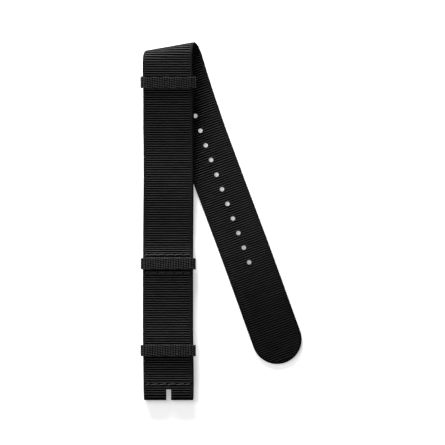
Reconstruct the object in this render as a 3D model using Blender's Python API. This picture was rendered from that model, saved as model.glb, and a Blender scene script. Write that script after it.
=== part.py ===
"""A pull-through fabric watch strap, sold without its buckle, as it lies folded once on a table.

One long band of ribbed nylon webbing makes the front leg, the slanted fold and the tail with its
adjustment holes. At the buckle end it turns back on itself, which leaves a tunnel for the buckle's bar
and a slot for its tongue. A second, shorter band is sewn under the front leg, and the watch sits
between the two. Three loops of narrow tape hold the free end: the upper one in the hem of the under
band, the middle one caught between two seams, and the lower one free to slide.

Lengths are in metres. The front leg runs along +Y from the buckle end, +X is to its right, and +Z is up
from the table.
"""

import math

import bmesh
import bpy
from mathutils import Matrix, Vector

# The webbing of both bands
BAND_WIDTH = 0.020
BAND_THICKNESS = 0.0012
SELVEDGE_BEVEL = 0.00035
CLOTH_GAP = 0.00025

# The front leg and the slanted fold, whose crease rises to the right
LEG_LENGTH = 0.1427
FOLD_ANGLE = math.radians(10.0)
FOLD_RADIUS = 0.00395
FOLD_RISE_LENGTH = 0.043
FOLD_TURN_LENGTH = 0.007

# Over this length the front leg climbs on to the tail that lies under it
LEG_CLIMB_LENGTH = 0.024

# The tail, which leaves the fold a little to the right and bends back
TAIL_LENGTH = 0.1313
TAIL_DRIFT = 0.00125
TAIL_DRIFT_LENGTH = 0.045
TAIL_RELAX_LENGTH = 0.012

# The adjustment holes, counted from the one nearest the tip
HOLE_COUNT = 11
HOLE_PITCH = 0.0063
HOLE_DIAMETER = 0.0019
LAST_HOLE_TO_TIP = 0.0431

# The buckle end: the bar's tunnel, the tongue's slot and the flap that returns underneath
BAR_TUNNEL_DIAMETER = 0.0017
SLOT_WIDTH = 0.0019
SLOT_DEPTH = 0.0044
FLAP_REACH = 0.0100
END_CORNER = 0.0005

# The keepers, loops of narrow tape
KEEPER_TAPE_WIDTH = 0.0046
KEEPER_THICKNESS = 0.00085
KEEPER_SIDE_GAP = 0.0003
KEEPER_CORNER = 0.0009
KEEPER_BEVEL = 0.0002
KEEPER_DESCENT = 0.0045
LOWER_KEEPER_PLACE = 0.0201
MIDDLE_KEEPER_PLACE = 0.0551
UPPER_KEEPER_TO_FOLD = 0.0144

# The seams, each sewn with a needle thread above and a bobbin thread below
BUCKLE_SEAM_PLACE = 0.0065
KEEPER_SEAM_MARGIN = 0.0014
HEM_SEAM_MARGIN = 0.0040
HEM_TAIL = 0.0045
STITCH_PITCH = 0.0035
SEAM_EDGE_MARGIN = 0.0009
THREAD_DIAMETER = 0.0004
THREAD_GAP = 0.00015
THREAD_BEND = 0.00022
BUCKLE_SEAM_SHIFT = -0.00035
KEEPER_SEAM_SHIFT = -0.0008
HEM_SEAM_SHIFT = 0.0

# How far a cutting body reaches past the face that it opens
CUT_OVERRUN = 0.0010

# How finely the curves are divided
FRONT_ROWS = 60
FOLD_ROWS = 14
TAIL_ROWS = 24
CROSSING_STEPS = 200
TIP_ROWS = 10
TUNNEL_ROWS = 10
FLAP_ROWS = 8
UNDER_ROWS = 52
HEM_TURN_ROWS = 8
HEM_RETURN_ROWS = 10
KEEPER_CORNER_STEPS = 5
HOLE_SIDES = 16
THREAD_SIDES = 6
TIP_LAST_ANGLE = math.radians(84.0)
SMOOTH_ANGLE = math.radians(35.0)

# What follows from the sizes above
HALF_WIDTH = BAND_WIDTH / 2
HALF_THICKNESS = BAND_THICKNESS / 2
LAYER_STEP = BAND_THICKNESS + CLOTH_GAP
KEEPER_STEP = KEEPER_THICKNESS + CLOTH_GAP
HALF_TAPE = KEEPER_TAPE_WIDTH / 2
RUN_OFFSET = HALF_THICKNESS + CLOTH_GAP + KEEPER_THICKNESS / 2
THREAD_RADIUS = THREAD_DIAMETER / 2
NEEDLE_SLOT_REACH = THREAD_BEND + THREAD_RADIUS + THREAD_GAP
SHORTEST_STITCH = 2 * NEEDLE_SLOT_REACH + THREAD_GAP
ALONG_FOLD = Vector((math.cos(FOLD_ANGLE), math.sin(FOLD_ANGLE), 0))
ACROSS_FOLD = Vector((-math.sin(FOLD_ANGLE), math.cos(FOLD_ANGLE), 0))
TAIL_DIRECTION = Vector((math.sin(2 * FOLD_ANGLE), -math.cos(2 * FOLD_ANGLE), 0))
FOLD_TANGENT = LEG_LENGTH * math.cos(FOLD_ANGLE) - FOLD_RADIUS - HALF_THICKNESS
FOLD_START = FOLD_TANGENT / math.cos(FOLD_ANGLE)
FOLD_RISE = 2 * FOLD_RADIUS - 2 * LAYER_STEP
TUNNEL_RADIUS = BAR_TUNNEL_DIAMETER / 2 + HALF_THICKNESS
TUNNEL_CENTRE = TUNNEL_RADIUS + HALF_THICKNESS
UNDER_START = SLOT_DEPTH + CLOTH_GAP
HEM_RADIUS = RUN_OFFSET
UPPER_KEEPER_PLACE = LEG_LENGTH - UPPER_KEEPER_TO_FOLD
HEM_TURN_PLACE = UPPER_KEEPER_PLACE + HALF_TAPE
HEM_SEAM_PLACE = UPPER_KEEPER_PLACE - HALF_TAPE - HEM_SEAM_MARGIN


def ramp(value, start, end):
    """A smooth rise from 0 at start to 1 at end."""
    share = min(1.0, max(0.0, (value - start) / (end - start)))
    return share * share * (3 - 2 * share)


def steps(start, end, count):
    """Values from start to end, both included, in equal steps."""
    return [start + (end - start) * index / count for index in range(count + 1)]


def tail_drift(distance):
    """Sideways place of the tail, at a distance along it from the fold."""
    share = max(0.0, 1 - distance / TAIL_DRIFT_LENGTH)
    return TAIL_DRIFT * share * share


def fold_point(angle):
    """Middle of the band in the fold, from 0 on the front layer to pi on the tail."""
    run = FOLD_START + FOLD_RADIUS * angle / math.cos(FOLD_ANGLE)
    along = run * math.sin(FOLD_ANGLE) + tail_drift(0.0) * ramp(angle, 0.0, math.pi)
    across = FOLD_TANGENT + FOLD_RADIUS * math.sin(angle)
    height = HALF_THICKNESS + FOLD_RADIUS * (1 + math.cos(angle))
    return ALONG_FOLD * along + ACROSS_FOLD * across + Vector((0, 0, height))


def tail_point(distance):
    """Middle of the tail, at a distance along it from the fold."""
    start = fold_point(math.pi)
    drift = tail_drift(distance) - tail_drift(0.0)
    return start + TAIL_DIRECTION * distance + ALONG_FOLD * drift


def tail_across(distance):
    """Run across the tail, which turns from the crease to square as it leaves the fold."""
    turn = FOLD_ANGLE * (1 - ramp(distance, 0.0, TAIL_RELAX_LENGTH))
    heading = 2 * FOLD_ANGLE - turn
    return Vector((math.cos(heading), math.sin(heading), 0)) / math.cos(turn)


def tail_crossing():
    """Where along the front leg the tail's inner edge comes out from under it."""
    for distance in steps(0.0, TAIL_LENGTH, CROSSING_STEPS):
        inner = tail_point(distance) - tail_across(distance) * HALF_WIDTH
        if inner.x > HALF_WIDTH:
            break
    return inner.y


TAIL_CROSSING = tail_crossing()


def leg_lift(y):
    """How far the tail and the fold lift the front leg off the table."""
    over_tail = LAYER_STEP * ramp(y, TAIL_CROSSING - LEG_CLIMB_LENGTH, TAIL_CROSSING)
    return over_tail + FOLD_RISE * ramp(y, FOLD_START - FOLD_RISE_LENGTH, FOLD_START)


def under_height(y):
    """Height of the under band's middle surface."""
    return HALF_THICKNESS + leg_lift(y)


def under_slope(y):
    """Angle at which the under band climbs along Y."""
    return math.atan2(under_height(y + CLOTH_GAP) - under_height(y - CLOTH_GAP), 2 * CLOTH_GAP)


def keeper_room(y):
    """What the flap and the back runs of the two lower keepers add between the layers."""
    lower_edge = MIDDLE_KEEPER_PLACE - HALF_TAPE
    upper_edge = MIDDLE_KEEPER_PLACE + HALF_TAPE
    flap_room = max(LAYER_STEP, KEEPER_STEP)
    room = KEEPER_STEP + (flap_room - KEEPER_STEP) * (1 - ramp(y, FLAP_REACH, lower_edge))
    return room * (1 - ramp(y, upper_edge, upper_edge + KEEPER_DESCENT))


def front_height(y):
    """Height of the front layer's middle surface."""
    level = under_height(y) + LAYER_STEP + keeper_room(y)
    tunnel_level = HALF_THICKNESS + 2 * TUNNEL_RADIUS
    return tunnel_level + (level - tunnel_level) * ramp(y, TUNNEL_CENTRE, BUCKLE_SEAM_PLACE)


def flap_height(y):
    """Height of the flap that returns from the tunnel and lies on the under band."""
    sewn_level = under_height(y) + LAYER_STEP
    return HALF_THICKNESS + (sewn_level - HALF_THICKNESS) * ramp(y, TUNNEL_CENTRE, SLOT_DEPTH)


def end_half_width(distance):
    """Half width near the buckle end, whose corners are rounded."""
    short = max(0.0, END_CORNER - distance)
    return HALF_WIDTH - END_CORNER + math.sqrt(END_CORNER * END_CORNER - short * short)


def level_row(y, z, half_width=HALF_WIDTH, slant=0.0):
    """A row across the front leg: its middle, the run across it and its half width."""
    return Vector((0, y, z)), Vector((1, math.tan(slant), 0)), half_width


def flap_rows():
    """From the flap's cut end down to the table."""
    return [level_row(y, flap_height(y)) for y in steps(FLAP_REACH, TUNNEL_CENTRE, FLAP_ROWS)]


def tunnel_rows():
    """Round the bar's tunnel, from the table up to the front layer."""
    rows = []
    for angle in steps(0.0, math.pi, TUNNEL_ROWS)[1:-1]:
        y = TUNNEL_CENTRE - TUNNEL_RADIUS * math.sin(angle)
        z = HALF_THICKNESS + TUNNEL_RADIUS * (1 - math.cos(angle))
        outer = TUNNEL_CENTRE - (TUNNEL_RADIUS + HALF_THICKNESS) * math.sin(angle)
        rows.append(level_row(y, z, end_half_width(outer)))
    return rows


def front_rows():
    """Along the front leg, with the rows turning to the crease as they reach the fold."""
    rows = []
    for y in steps(TUNNEL_CENTRE, FOLD_START, FRONT_ROWS):
        slant = FOLD_ANGLE * ramp(y, FOLD_START - FOLD_TURN_LENGTH, FOLD_START)
        rows.append(level_row(y, front_height(y), slant=slant))
    return rows


def fold_rows():
    """Round the fold, each row parallel to the crease."""
    across = ALONG_FOLD / math.cos(FOLD_ANGLE)
    return [(fold_point(angle), across, HALF_WIDTH) for angle in steps(0.0, math.pi, FOLD_ROWS)[1:]]


def tail_rows():
    """Along the tail and round its half-round tip."""
    tip_centre = TAIL_LENGTH - HALF_WIDTH
    rows = []
    for distance in steps(0.0, tip_centre, TAIL_ROWS)[1:]:
        rows.append((tail_point(distance), tail_across(distance), HALF_WIDTH))
    for angle in steps(0.0, TIP_LAST_ANGLE, TIP_ROWS)[1:]:
        distance = tip_centre + HALF_WIDTH * math.sin(angle)
        rows.append((tail_point(distance), tail_across(distance), HALF_WIDTH * math.cos(angle)))
    return rows


def under_point(y, below=0.0):
    """A point at a depth below the under band's middle surface, square to it."""
    slope = under_slope(y)
    return Vector((0, y + below * math.sin(slope), under_height(y) - below * math.cos(slope)))


def hem_depth(y):
    """How far the hem's return lies below the under band's main run."""
    keeper_edge = UPPER_KEEPER_PLACE - HALF_TAPE
    closing = ramp(y, HEM_SEAM_PLACE + THREAD_DIAMETER, keeper_edge - THREAD_GAP)
    return LAYER_STEP + (2 * HEM_RADIUS - LAYER_STEP) * closing


def under_rows():
    """The under band: its main run, the turn round the upper keeper and the hem's return."""
    across = Vector((1, 0, 0))
    points = [under_point(y) for y in steps(UNDER_START, HEM_TURN_PLACE, UNDER_ROWS)]
    centre = under_point(HEM_TURN_PLACE, HEM_RADIUS)
    slope = under_slope(HEM_TURN_PLACE)
    for angle in steps(0.0, math.pi, HEM_TURN_ROWS)[1:]:
        turned = angle - slope
        points.append(centre + HEM_RADIUS * Vector((0, math.sin(turned), math.cos(turned))))
    for y in steps(HEM_TURN_PLACE, HEM_SEAM_PLACE - HEM_TAIL, HEM_RETURN_ROWS)[1:]:
        points.append(under_point(y, hem_depth(y)))
    return [(point, across, HALF_WIDTH) for point in points]


def flat_ring(centre, across, normal, half_width, half_thickness, bevel):
    """The outline of a flat band at one row, with bevelled selvedges."""
    cut = min(bevel, half_width / 2)
    wide = half_width - cut
    thin = half_thickness - bevel
    outline = [(-half_width, -thin), (-half_width, thin), (-wide, half_thickness), (wide, half_thickness)]
    outline += [(-q, -t) for q, t in outline]
    return [centre + across * q + normal * t for q, t in outline]


def band_rings(rows):
    """The outline of a band at every row, square to its surface there."""
    rings = []
    for index, (centre, across, half_width) in enumerate(rows):
        before = rows[max(0, index - 1)][0]
        after = rows[min(len(rows) - 1, index + 1)][0]
        normal = across.cross(after - before).normalized()
        rings.append(flat_ring(centre, across, normal, half_width, HALF_THICKNESS, SELVEDGE_BEVEL))
    return rings


def skin(rings, closed=False):
    """Join rings of equal count into one closed body, capped at its ends unless it is a loop."""
    body = bmesh.new()
    loops = [[body.verts.new(point) for point in ring] for ring in rings]
    pairs = list(zip(loops, loops[1:]))
    if closed:
        pairs.append((loops[-1], loops[0]))
    for first, second in pairs:
        for index in range(len(first)):
            after = (index + 1) % len(first)
            body.faces.new((first[index], first[after], second[after], second[index]))
    if not closed:
        body.faces.new(loops[0])
        body.faces.new(loops[-1])
    bmesh.ops.recalc_face_normals(body, faces=body.faces)
    return body


def finish_mesh(name, body):
    """Turn a bmesh into mesh data."""
    mesh = bpy.data.meshes.new(name)
    body.to_mesh(mesh)
    body.free()
    return mesh


def add_object(name, body, parent, material=None):
    """Put a body in the scene under the strap's frame."""
    piece = bpy.data.objects.new(name, finish_mesh(name, body))
    bpy.context.scene.collection.objects.link(piece)
    piece.parent = parent
    if material:
        piece.data.materials.append(material)
        piece.data.shade_smooth()
        piece.data.set_sharp_from_angle(angle=SMOOTH_ANGLE)
    return piece


def add_cut(piece, body, parent):
    """Cut a body out of a piece."""
    cutter = add_object(piece.name + "_cutter", body, parent)
    cutter.hide_render = True
    cutter.display_type = "WIRE"
    cut = piece.modifiers.new("cut", "BOOLEAN")
    cut.operation = "DIFFERENCE"
    cut.object = cutter


def cloth_material(name, shade, roughness):
    """Dyed nylon."""
    material = bpy.data.materials.new(name)
    material.use_nodes = True
    shader = material.node_tree.nodes["Principled BSDF"]
    shader.inputs["Base Color"].default_value = (shade, shade, shade, 1.0)
    shader.inputs["Roughness"].default_value = roughness
    shader.inputs["Metallic"].default_value = 0.0
    return material


def needle_points(shift):
    """Where the needle goes through along X: evenly, with a last point by each selvedge."""
    edge = HALF_WIDTH - SEAM_EDGE_MARGIN
    reach = edge - SHORTEST_STITCH
    first = math.ceil((-reach - shift) / STITCH_PITCH)
    last = math.floor((reach - shift) / STITCH_PITCH)
    inner = [shift + STITCH_PITCH * index for index in range(first, last + 1)]
    return [-edge] + inner + [edge]


def seam_frame(y):
    """The frame of a seam or keeper: on the under band's middle surface, tilted with it."""
    return Matrix.Translation(under_point(y)) @ Matrix.Rotation(under_slope(y), 4, "X")


def add_comb(body, frame, points, face, split):
    """Add the cutting comb of one thread: a groove in the outer face, and a slot at each needle point."""
    up = math.copysign(1.0, face - split)
    floor = face - up * (THREAD_DIAMETER + THREAD_GAP)
    reach = NEEDLE_SLOT_REACH
    opening = face + up * CUT_OVERRUN
    start = points[0] - reach - THREAD_GAP
    end = points[-1] + reach + THREAD_GAP
    outline = [(start, opening), (end, opening), (end, floor)]
    for x in reversed(points):
        outline += [(x + reach, floor), (x + reach, split), (x - reach, split), (x - reach, floor)]
    outline.append((start, floor))
    half_slot = THREAD_RADIUS + THREAD_GAP
    side = body.faces.new([body.verts.new(Vector((x, -half_slot, z))) for x, z in outline])
    grown = bmesh.ops.extrude_face_region(body, geom=[side])
    moved = [item for item in grown["geom"] if isinstance(item, bmesh.types.BMVert)]
    bmesh.ops.translate(body, vec=Vector((0, 2 * half_slot, 0)), verts=moved)
    bmesh.ops.transform(body, matrix=frame, verts=list(side.verts) + moved)


def thread_route(points, face, meeting):
    """One thread of a lockstitch: flush with its face, and down to the other thread at each point."""
    up = math.copysign(1.0, face - meeting)
    line = face - up * THREAD_RADIUS
    low = meeting + up * (THREAD_GAP / 2 + THREAD_RADIUS)
    knee = low + up * THREAD_BEND
    shoulder = line - up * THREAD_BEND
    inner, outer = THREAD_BEND, 2 * THREAD_BEND
    route = [(points[0], low), (points[0], shoulder), (points[0] + inner, line)]
    for x in points[1:-1]:
        route += [(x - outer, line), (x - inner, shoulder), (x - inner, knee), (x, low)]
        route += [(x + inner, knee), (x + inner, shoulder), (x + outer, line)]
    route += [(points[-1] - inner, line), (points[-1], shoulder), (points[-1], low)]
    return [Vector((x, 0, z)) for x, z in route]


def thread_rings(route):
    """Round outlines along a thread, mitred at its bends."""
    side = Vector((0, 1, 0))
    rings = []
    for index, centre in enumerate(route):
        before = (centre - route[max(0, index - 1)]).normalized()
        after = (route[min(len(route) - 1, index + 1)] - centre).normalized()
        heading = (before + after).normalized()
        normal = side.cross(heading)
        ring = []
        for number in range(THREAD_SIDES):
            turn = 2 * math.pi * number / THREAD_SIDES
            ring.append(centre + THREAD_RADIUS * (side * math.cos(turn) + normal * math.sin(turn)))
        rings.append(ring)
    return rings


def add_seam(name, parent, y, shift, faces, material):
    """The needle thread and the bobbin thread of one seam, between its top and bottom faces."""
    top, bottom = faces
    meeting = (top + bottom) / 2
    for thread, face in (("needle_thread", top), ("bobbin_thread", bottom)):
        body = skin(thread_rings(thread_route(needle_points(shift), face, meeting)))
        piece = add_object(name + "_" + thread, body, parent, material)
        piece.matrix_local = seam_frame(y)


def add_keeper(name, parent, y, back, front, material):
    """A loop of tape, from its back run to its front run, given by their heights in its frame."""
    half_span = HALF_WIDTH + KEEPER_SIDE_GAP + KEEPER_THICKNESS / 2
    middle = (back + front) / 2
    half_height = (front - back) / 2
    half_thickness = KEEPER_THICKNESS / 2
    tape_across = Vector((0, 1, 0))
    rings = []
    for quarter in range(4):
        for angle in steps(quarter * math.pi / 2, (quarter + 1) * math.pi / 2, KEEPER_CORNER_STEPS):
            outward = Vector((math.cos(angle), 0, math.sin(angle)))
            turning = (quarter + 1 / 2) * math.pi / 2
            corner_x = math.copysign(half_span - KEEPER_CORNER, math.cos(turning))
            corner_z = math.copysign(half_height - KEEPER_CORNER, math.sin(turning))
            centre = Vector((corner_x, 0, corner_z)) + outward * KEEPER_CORNER
            rings.append(flat_ring(centre, tape_across, outward, HALF_TAPE, half_thickness, KEEPER_BEVEL))
    piece = add_object(name, skin(rings, closed=True), parent, material)
    piece.matrix_local = seam_frame(y) @ Matrix.Translation(Vector((0, 0, middle)))
    return piece


def add_holes(body):
    """Cutting cylinders of the adjustment holes."""
    for index in range(HOLE_COUNT):
        place = tail_point(TAIL_LENGTH - LAST_HOLE_TO_TIP - HOLE_PITCH * index)
        bmesh.ops.create_cone(
            body,
            cap_ends=True,
            segments=HOLE_SIDES,
            radius1=HOLE_DIAMETER / 2,
            radius2=HOLE_DIAMETER / 2,
            depth=BAND_THICKNESS + 2 * CUT_OVERRUN,
            matrix=Matrix.Translation(place),
        )


def add_slot(body):
    """Cutting block of the tongue's slot, open at the buckle end."""
    height = front_height(SLOT_DEPTH) + HALF_THICKNESS + 2 * CUT_OVERRUN
    size = Vector((SLOT_WIDTH, SLOT_DEPTH + CUT_OVERRUN, height))
    middle = Vector((0, SLOT_DEPTH - size.y / 2, height / 2 - CUT_OVERRUN))
    matrix = Matrix.Translation(middle) @ Matrix.Diagonal(size.to_4d())
    bmesh.ops.create_cube(body, size=1.0, matrix=matrix)


def front_face(y):
    """Height of the front layer's upper face in the frame of a seam or keeper."""
    return front_height(y) - under_height(y) + HALF_THICKNESS


def seams():
    """Each seam's place, the shift of its stitches, its two faces and where its two combs part."""
    keeper_reach = HALF_TAPE + KEEPER_SEAM_MARGIN
    under_face = -HALF_THICKNESS
    listed = {}
    listed["buckle_seam"] = (BUCKLE_SEAM_PLACE, BUCKLE_SEAM_SHIFT)
    listed["middle_keeper_lower_seam"] = (MIDDLE_KEEPER_PLACE - keeper_reach, KEEPER_SEAM_SHIFT)
    listed["middle_keeper_upper_seam"] = (MIDDLE_KEEPER_PLACE + keeper_reach, KEEPER_SEAM_SHIFT)
    rows = {}
    for name, (place, shift) in listed.items():
        parting = HALF_THICKNESS + CLOTH_GAP / 2
        rows[name] = (place, shift, (front_face(place), under_face), parting)
    hem_faces = (HALF_THICKNESS, -LAYER_STEP - HALF_THICKNESS)
    rows["hem_seam"] = (HEM_SEAM_PLACE, HEM_SEAM_SHIFT, hem_faces, under_face - CLOTH_GAP / 2)
    return rows


def build_long_band(frame, material):
    """The long band, with its holes, its slot and the needle slots of the seams that cross it."""
    rows = flap_rows() + tunnel_rows() + front_rows() + fold_rows() + tail_rows()
    band = add_object("long_band", skin(band_rings(rows)), frame, material)
    cutter = bmesh.new()
    add_holes(cutter)
    add_slot(cutter)
    for name, (place, shift, faces, parting) in seams().items():
        if name != "hem_seam":
            add_comb(cutter, seam_frame(place), needle_points(shift), faces[0], parting)
    bmesh.ops.recalc_face_normals(cutter, faces=cutter.faces)
    add_cut(band, cutter, frame)


def build_under_band(frame, material):
    """The under band, with the needle slots of all four seams."""
    band = add_object("under_band", skin(band_rings(under_rows())), frame, material)
    cutter = bmesh.new()
    for name, (place, shift, faces, parting) in seams().items():
        points = needle_points(shift)
        add_comb(cutter, seam_frame(place), points, faces[1], parting - CLOTH_GAP / 8)
        if name == "hem_seam":
            add_comb(cutter, seam_frame(place), points, faces[0], parting + CLOTH_GAP / 8)
    bmesh.ops.recalc_face_normals(cutter, faces=cutter.faces)
    add_cut(band, cutter, frame)


def build_keepers(frame, material):
    """The three keepers, each round the front layer, and the upper one in the hem as well."""
    front_step = LAYER_STEP + RUN_OFFSET
    middle_front = front_face(MIDDLE_KEEPER_PLACE) + CLOTH_GAP + KEEPER_THICKNESS / 2
    lower_front = front_face(FLAP_REACH) + CLOTH_GAP + KEEPER_THICKNESS / 2
    add_keeper("upper_keeper", frame, UPPER_KEEPER_PLACE, -RUN_OFFSET, front_step, material)
    add_keeper("middle_keeper", frame, MIDDLE_KEEPER_PLACE, RUN_OFFSET, middle_front, material)
    add_keeper("lower_keeper", frame, LOWER_KEEPER_PLACE, RUN_OFFSET, lower_front, material)


def centre_on_table(frame):
    """Put the origin under the middle of the whole strap."""
    bpy.context.view_layer.update()
    pieces = [piece for piece in frame.children if not piece.hide_render]
    places = [piece.matrix_world @ vertex.co for piece in pieces for vertex in piece.data.vertices]
    for axis in (0, 1):
        values = [place[axis] for place in places]
        frame.location[axis] = -(min(values) + max(values)) / 2


def main():
    for item in list(bpy.data.objects):
        bpy.data.objects.remove(item, do_unlink=True)
    frame = bpy.data.objects.new("strap_frame", None)
    bpy.context.scene.collection.objects.link(frame)
    webbing = cloth_material("ribbed_webbing", 0.012, 0.75)
    under_webbing = cloth_material("under_webbing", 0.011, 0.78)
    tape = cloth_material("keeper_tape", 0.014, 0.7)
    thread = cloth_material("sewing_thread", 0.018, 0.55)
    build_long_band(frame, webbing)
    build_under_band(frame, under_webbing)
    build_keepers(frame, tape)
    for name, (place, shift, faces, _) in seams().items():
        add_seam(name, frame, place, shift, faces, thread)
    centre_on_table(frame)


main()
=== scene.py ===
import math

import bmesh
import bpy
import numpy as np
from mathutils import Matrix, Vector


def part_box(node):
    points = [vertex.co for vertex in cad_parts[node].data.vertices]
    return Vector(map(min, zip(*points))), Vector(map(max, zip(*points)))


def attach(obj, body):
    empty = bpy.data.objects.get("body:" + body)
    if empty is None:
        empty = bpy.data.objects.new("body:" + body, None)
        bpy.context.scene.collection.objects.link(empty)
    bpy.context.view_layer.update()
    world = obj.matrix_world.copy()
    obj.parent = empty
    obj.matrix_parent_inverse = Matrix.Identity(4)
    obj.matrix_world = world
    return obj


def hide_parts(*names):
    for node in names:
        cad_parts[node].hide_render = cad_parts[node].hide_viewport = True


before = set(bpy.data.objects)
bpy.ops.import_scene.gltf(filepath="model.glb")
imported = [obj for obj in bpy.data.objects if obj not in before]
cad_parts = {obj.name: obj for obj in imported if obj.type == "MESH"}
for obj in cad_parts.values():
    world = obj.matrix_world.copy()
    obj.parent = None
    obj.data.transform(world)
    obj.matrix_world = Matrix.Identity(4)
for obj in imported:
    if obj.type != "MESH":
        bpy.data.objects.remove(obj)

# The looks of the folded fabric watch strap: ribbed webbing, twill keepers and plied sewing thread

MM = 0.001

# The webbing, as the solids have it
BAND_WIDTH = 20.0 * MM
BAND_THICKNESS = 1.2 * MM
CLOTH_GAP = 0.25 * MM
LEG_LENGTH = 142.7 * MM
FOLD_ANGLE = math.radians(10.0)
FOLD_RADIUS = 3.95 * MM
FOLD_RISE_LENGTH = 43.0 * MM
FOLD_TURN_LENGTH = 7.0 * MM
LEG_CLIMB_LENGTH = 24.0 * MM
TAIL_LENGTH = 131.3 * MM
TAIL_DRIFT = 1.25 * MM
TAIL_DRIFT_LENGTH = 45.0 * MM
TAIL_RELAX_LENGTH = 12.0 * MM
HOLE_COUNT = 11
HOLE_PITCH = 6.3 * MM
HOLE_DIAMETER = 1.75 * MM
LAST_HOLE_TO_TIP = 43.1 * MM
BAR_TUNNEL_DIAMETER = 1.7 * MM
SLOT_WIDTH = 1.9 * MM
SLOT_DEPTH = 4.4 * MM
FLAP_REACH = 10.0 * MM
KEEPER_TAPE_WIDTH = 4.6 * MM
KEEPER_THICKNESS = 0.85 * MM
KEEPER_SIDE_GAP = 0.3 * MM
KEEPER_DESCENT = 4.5 * MM
LOWER_KEEPER_PLACE = 20.1 * MM
MIDDLE_KEEPER_PLACE = 55.1 * MM
UPPER_KEEPER_TO_FOLD = 14.4 * MM
BUCKLE_SEAM_PLACE = 6.5 * MM
KEEPER_SEAM_MARGIN = 1.4 * MM
HEM_SEAM_MARGIN = 4.0 * MM
HEM_TAIL = 4.5 * MM
STITCH_PITCH = 3.5 * MM
SEAM_EDGE_MARGIN = 0.9 * MM
SHORTEST_STITCH = 1.29 * MM
BUCKLE_SEAM_SHIFT = -0.35 * MM
KEEPER_SEAM_SHIFT = -0.8 * MM
HEM_SEAM_SHIFT = 0.0

# How much shorter the flap is here than the solid's
FLAP_SHORT = 1.7 * MM

# What follows from them
HALF_WIDTH = BAND_WIDTH / 2
HALF_THICKNESS = BAND_THICKNESS / 2
LAYER_STEP = BAND_THICKNESS + CLOTH_GAP
KEEPER_STEP = KEEPER_THICKNESS + CLOTH_GAP
HALF_TAPE = KEEPER_TAPE_WIDTH / 2
RUN_OFFSET = HALF_THICKNESS + CLOTH_GAP + KEEPER_THICKNESS / 2
FOLD_TANGENT = LEG_LENGTH * math.cos(FOLD_ANGLE) - FOLD_RADIUS - HALF_THICKNESS
FOLD_START = FOLD_TANGENT / math.cos(FOLD_ANGLE)
FOLD_RISE = 2 * FOLD_RADIUS - 2 * LAYER_STEP
TUNNEL_RADIUS = BAR_TUNNEL_DIAMETER / 2 + HALF_THICKNESS
TUNNEL_CENTRE = TUNNEL_RADIUS + HALF_THICKNESS
UNDER_START = SLOT_DEPTH + CLOTH_GAP
UPPER_KEEPER_PLACE = LEG_LENGTH - UPPER_KEEPER_TO_FOLD
HEM_TURN_PLACE = UPPER_KEEPER_PLACE + HALF_TAPE
HEM_SEAM_PLACE = UPPER_KEEPER_PLACE - HALF_TAPE - HEM_SEAM_MARGIN
HEM_TURN_RUN = HEM_TURN_PLACE - UNDER_START + RUN_OFFSET
FLAP_RUN = FLAP_REACH - FLAP_SHORT - TUNNEL_CENTRE
FRONT_FIRST = FLAP_RUN + math.pi * TUNNEL_RADIUS / 2
FRONT_LAST = FRONT_FIRST + FOLD_START
SEAM_REACH = HALF_TAPE + KEEPER_SEAM_MARGIN
SIDEWAYS = np.array([1.0, 0.0, 0.0])
LENGTHWISE = np.array([0.0, 1.0, 0.0])
ALONG_FOLD = Vector((math.cos(FOLD_ANGLE), math.sin(FOLD_ANGLE), 0))
ACROSS_FOLD = Vector((-math.sin(FOLD_ANGLE), math.cos(FOLD_ANGLE), 0))
TAIL_DIRECTION = Vector((math.sin(2 * FOLD_ANGLE), -math.cos(2 * FOLD_ANGLE), 0))

# The seams through both bands: each one's place along the leg, and how far its stitches are shifted
LEG_SEAMS = {
    "buckle_seam": (BUCKLE_SEAM_PLACE, BUCKLE_SEAM_SHIFT),
    "middle_keeper_lower_seam": (MIDDLE_KEEPER_PLACE - SEAM_REACH, KEEPER_SEAM_SHIFT),
    "middle_keeper_upper_seam": (MIDDLE_KEEPER_PLACE + SEAM_REACH, KEEPER_SEAM_SHIFT),
}

# How the front layer sinks between the keepers
SAG_DEPTH = 0.45 * MM
SAG_LEAD = 1.1 * MM
SAG_MIDDLE = 9.8 * MM
SAG_FAR_MIDDLE = 34.0 * MM

# How the free part of the tail bows off the table, with its tip down again
TAIL_BOW = 1.3 * MM
TAIL_BOW_START = 62.0 * MM

# The weave of the webbing: ribs across it, plain selvedges, and how finely it is meshed
RIB_PITCH = 0.95 * MM
RIB_DEPTH = 0.33 * MM
RIB_PHASE = 0.6
RIB_ROW_SHARES = (-0.5, -0.41, -0.31, -0.175, 0.0, 0.175, 0.31, 0.41)
SELVEDGE_ROUND = 0.45 * MM
SELVEDGE_PLAIN = 0.86 * MM
SELVEDGE_FADE = 0.26 * MM
SELVEDGE_RIBS = 0.35
SELVEDGE_GROOVE = 0.06 * MM
SELVEDGE_GROOVE_PLACE = 0.90 * MM
SELVEDGE_GROOVE_REACH = 0.13 * MM
CUT_END_ROUND = 0.25 * MM
SELVEDGE_POWER = 2.4
THINNEST_SHARE = 0.25
END_ROWS = (0.0, 0.01, 0.04, 0.09, 0.17)
END_ROWS_CLEAR = RIB_PITCH / 20
COLUMN_SHARES = (
    0, 0.003, 0.010, 0.020, 0.032, 0.046, 0.060, 0.072, 0.081, 0.090, 0.099, 0.110, 0.125, 0.16,
    0.25, 0.4, 0.55, 0.7, 0.8,
)
HOLE_COLUMN_SHARES = (0.855, 0.885, 0.91, 0.95, 1.0)
NARROWEST_TIP = 0.05 * MM
RULING_PASSES = 12
SLOW_STEP = 0.1 * MM
TUNNEL_STEPS = 60
FOLD_STEPS = 160
CROSSING_STEPS = 200

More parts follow.
